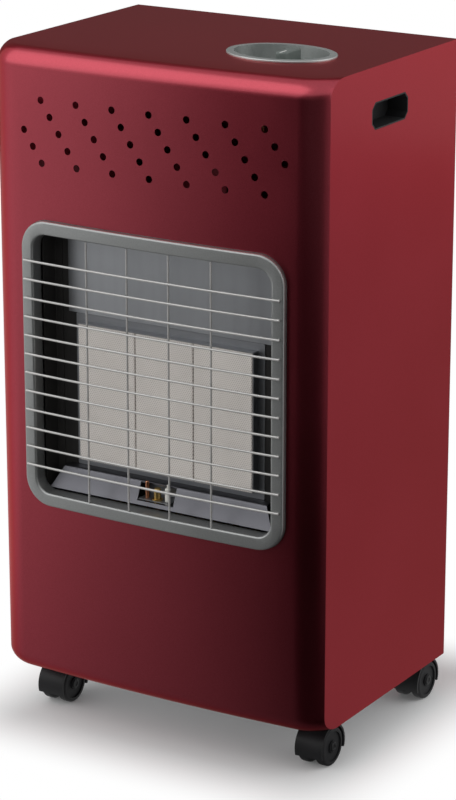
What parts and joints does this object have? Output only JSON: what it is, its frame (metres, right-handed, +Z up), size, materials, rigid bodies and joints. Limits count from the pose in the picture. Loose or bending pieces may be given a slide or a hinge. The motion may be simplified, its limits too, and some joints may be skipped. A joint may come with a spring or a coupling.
{
  "type": "gas cabinet heater",
  "caption": "Portable gas cabinet heater on swivel casters: bowed front with a radiant burner behind a wire guard, controls sunk in the top, hand slots and a lift-off rear cover.",
  "frame": {"origin": "on the floor, under the middle of the whole outline", "axes": "+Z up, -Y is the side the burner faces, +X to the right of someone facing the burner"},
  "size_m": [0.41, 0.3998, 0.773],
  "materials": {
    "cabinet_paint": "semi-gloss burgundy stove paint",
    "galvanised_sheet": "zinc-coated sheet",
    "bezel_finish": "satin grey metallic",
    "guard_wire": "bright plated wire",
    "plaque_ceramic": null,
    "retainer_steel": "plain stainless sheet",
    "black_enamel": "matt black stove enamel",
    "bright_reflector": "bright annealed sheet",
    "valve_alloy": "die cast",
    "gas_brass": "turned",
    "pipe_metal": null,
    "zinc_steel": "zinc plated",
    "control_silver": "satin silver",
    "knob_plastic": "satin grey-green",
    "black_plastic": "moulded, fine grain",
    "wheel_plastic": "hard black tread",
    "white_porcelain": null,
    "lead_rubber": "silicone sleeve"
  },
  "bodies": {
    "cabinet": {"front_panel": "cabinet_paint", "side_panel_left": "cabinet_paint", "side_panel_right": "cabinet_paint", "top_panel": "cabinet_paint", "back_upper_panel": "cabinet_paint", "base_tray": "galvanised_sheet", "heat_shield": "galvanised_sheet", "burner_plenum_left": "galvanised_sheet", "burner_plenum_centre": "galvanised_sheet", "burner_plenum_right": "galvanised_sheet", "burner_bezel": "bezel_finish", "wire_guard": "guard_wire", "plaque_left": "plaque_ceramic", "plaque_centre": "plaque_ceramic", "plaque_right": "plaque_ceramic", "plaque_retainer": "retainer_steel", "pilot_bracket": "retainer_steel", "burner_plate": "black_enamel", "recess_wall_left": "black_enamel", "recess_wall_right": "black_enamel", "reflector_top": "bright_reflector", "reflector_bottom": "bright_reflector", "gas_valve": "valve_alloy", "injector_manifold": "gas_brass", "hose_nozzle": "gas_brass", "pilot_burner": "gas_brass", "main_gas_pipe": "pipe_metal", "pilot_gas_pipe": "pipe_metal", "flame_sensor": "pipe_metal", "back_screws": "zinc_steel", "control_plate": "control_silver", "hand_cup_left": "black_plastic", "hand_cup_right": "black_plastic", "piezo_igniter": "black_plastic", "caster_socket_front_left": "black_plastic", "caster_socket_front_right": "black_plastic", "caster_socket_rear_left": "black_plastic", "caster_socket_rear_right": "black_plastic", "spark_electrode": "white_porcelain", "ignition_lead": "lead_rubber"},
    "cover": {"rear_cover": "cabinet_paint"},
    "knob_carrier": {"spindle_collar": "zinc_steel"},
    "knob": {"valve_spindle": "zinc_steel", "control_knob": "knob_plastic"},
    "button": {"igniter_button": "black_plastic"},
    "caster_front_left": {"caster_hood_front_left": "black_plastic"},
    "wheels_front_left": {"caster_axle_front_left": "zinc_steel", "caster_wheels_front_left": "wheel_plastic"},
    "caster_front_right": {"caster_hood_front_right": "black_plastic"},
    "wheels_front_right": {"caster_axle_front_right": "zinc_steel", "caster_wheels_front_right": "wheel_plastic"},
    "caster_rear_left": {"caster_hood_rear_left": "black_plastic"},
    "wheels_rear_left": {"caster_axle_rear_left": "zinc_steel", "caster_wheels_rear_left": "wheel_plastic"},
    "caster_rear_right": {"caster_hood_rear_right": "black_plastic"},
    "wheels_rear_right": {"caster_axle_rear_right": "zinc_steel", "caster_wheels_rear_right": "wheel_plastic"}
  },
  "joints": [
    {"name": "cover_pull", "type": "slide", "parent": "cabinet", "child": "cover", "axis": [0, 1, 0], "range_m": [0, 0.25]},
    {"name": "knob_press", "type": "slide", "parent": "cabinet", "child": "knob_carrier", "axis": [0, 0, -1], "range_m": [0, 0.004], "stiffness_N_per_m": 800, "springref_m": -0.006},
    {"name": "knob_turn", "type": "hinge", "parent": "knob_carrier", "child": "knob", "pos_m": [0.096, -0.07005, 0.768], "axis": [0, 0, 1], "range_deg": [0, 200]},
    {"name": "igniter_press", "type": "slide", "parent": "cabinet", "child": "button", "axis": [0, 0, -1], "range_m": [0, 0.005], "stiffness_N_per_m": 600, "springref_m": -0.006},
    {"name": "swivel_front_left", "type": "hinge", "parent": "cabinet", "child": "caster_front_left", "pos_m": [-0.17, -0.10505, 0.058], "axis": [0, 0, 1], "continuous": true},
    {"name": "roll_front_left", "type": "hinge", "parent": "caster_front_left", "child": "wheels_front_left", "pos_m": [-0.17, -0.11905, 0.022], "axis": [1, 0, 0], "continuous": true},
    {"name": "swivel_front_right", "type": "hinge", "parent": "cabinet", "child": "caster_front_right", "pos_m": [0.17, -0.10505, 0.058], "axis": [0, 0, 1], "continuous": true},
    {"name": "roll_front_right", "type": "hinge", "parent": "caster_front_right", "child": "wheels_front_right", "pos_m": [0.17, -0.11905, 0.022], "axis": [1, 0, 0], "continuous": true},
    {"name": "swivel_rear_left", "type": "hinge", "parent": "cabinet", "child": "caster_rear_left", "pos_m": [-0.17, 0.08695, 0.058], "axis": [0, 0, 1], "continuous": true},
    {"name": "roll_rear_left", "type": "hinge", "parent": "caster_rear_left", "child": "wheels_rear_left", "pos_m": [-0.17, 0.10095, 0.022], "axis": [1, 0, 0], "continuous": true},
    {"name": "swivel_rear_right", "type": "hinge", "parent": "cabinet", "child": "caster_rear_right", "pos_m": [0.17, 0.08695, 0.058], "axis": [0, 0, 1], "continuous": true},
    {"name": "roll_rear_right", "type": "hinge", "parent": "caster_rear_right", "child": "wheels_rear_right", "pos_m": [0.17, 0.10095, 0.022], "axis": [1, 0, 0], "continuous": true}
  ]
}
